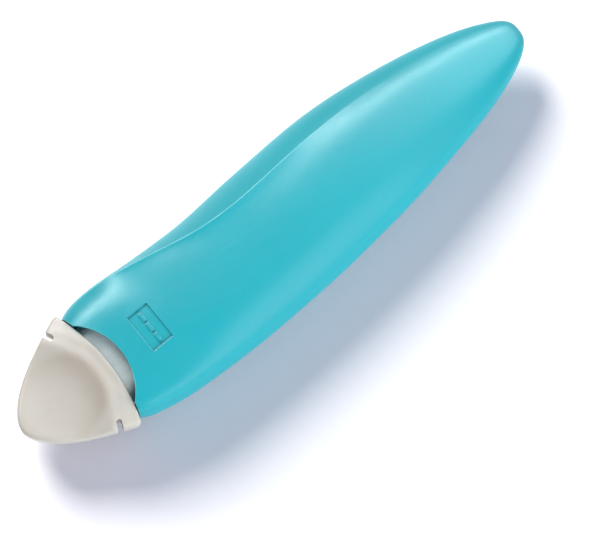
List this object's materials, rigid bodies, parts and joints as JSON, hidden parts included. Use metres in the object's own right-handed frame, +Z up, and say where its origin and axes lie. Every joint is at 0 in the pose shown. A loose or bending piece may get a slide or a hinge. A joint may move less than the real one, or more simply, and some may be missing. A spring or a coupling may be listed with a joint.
{
  "type": "chalk wheel marker",
  "caption": "Spindle-shaped sewing marker lying on its side: hollow creased grip, pull-off dished nose cap, powder cartridge with a toothed marking wheel and filler plug.",
  "frame": {"origin": "on the surface the tool rests on, under the middle of its bounding box", "axes": "+X from the nose to the tail, +Y from the belly to the back, +Z up, across the tool from its right face to its left face"},
  "size_m": [0.1412, 0.0332, 0.0244],
  "materials": {
    "handle_plastic": "satin",
    "cap_plastic": "satin",
    "frosted_plastic": "frosted",
    "head_plastic": "matte",
    "wheel_brass": "satin",
    "axle_steel": "brushed",
    "chalk": "powdery",
    "plug_rubber": "matte"
  },
  "bodies": {
    "handle": {"left_handle_shell": "handle_plastic", "right_handle_shell": "handle_plastic"},
    "cartridge": {"cartridge_body": "frosted_plastic", "cartridge_head": "head_plastic", "wheel_axle": "axle_steel", "chalk_powder": "chalk"},
    "cap": {"cap": "cap_plastic"},
    "wheel": {"marking_wheel": "wheel_brass"},
    "plug": {"filler_plug": "plug_rubber"}
  },
  "joints": [
    {"name": "cartridge_slide", "type": "slide", "parent": "handle", "child": "cartridge", "axis": [-1, 0, 0], "range_m": [0, 0.056]},
    {"name": "cap_slide", "type": "slide", "parent": "cartridge", "child": "cap", "axis": [-1, 0, 0], "range_m": [0, 0.026]},
    {"name": "wheel_spin", "type": "hinge", "parent": "cartridge", "child": "wheel", "pos_m": [-0.0628, 0.00112, 0.0121], "axis": [0, 0, 1], "continuous": true},
    {"name": "plug_slide", "type": "slide", "parent": "cartridge", "child": "plug", "axis": [1, 0, 0], "range_m": [0, 0.01]}
  ]
}
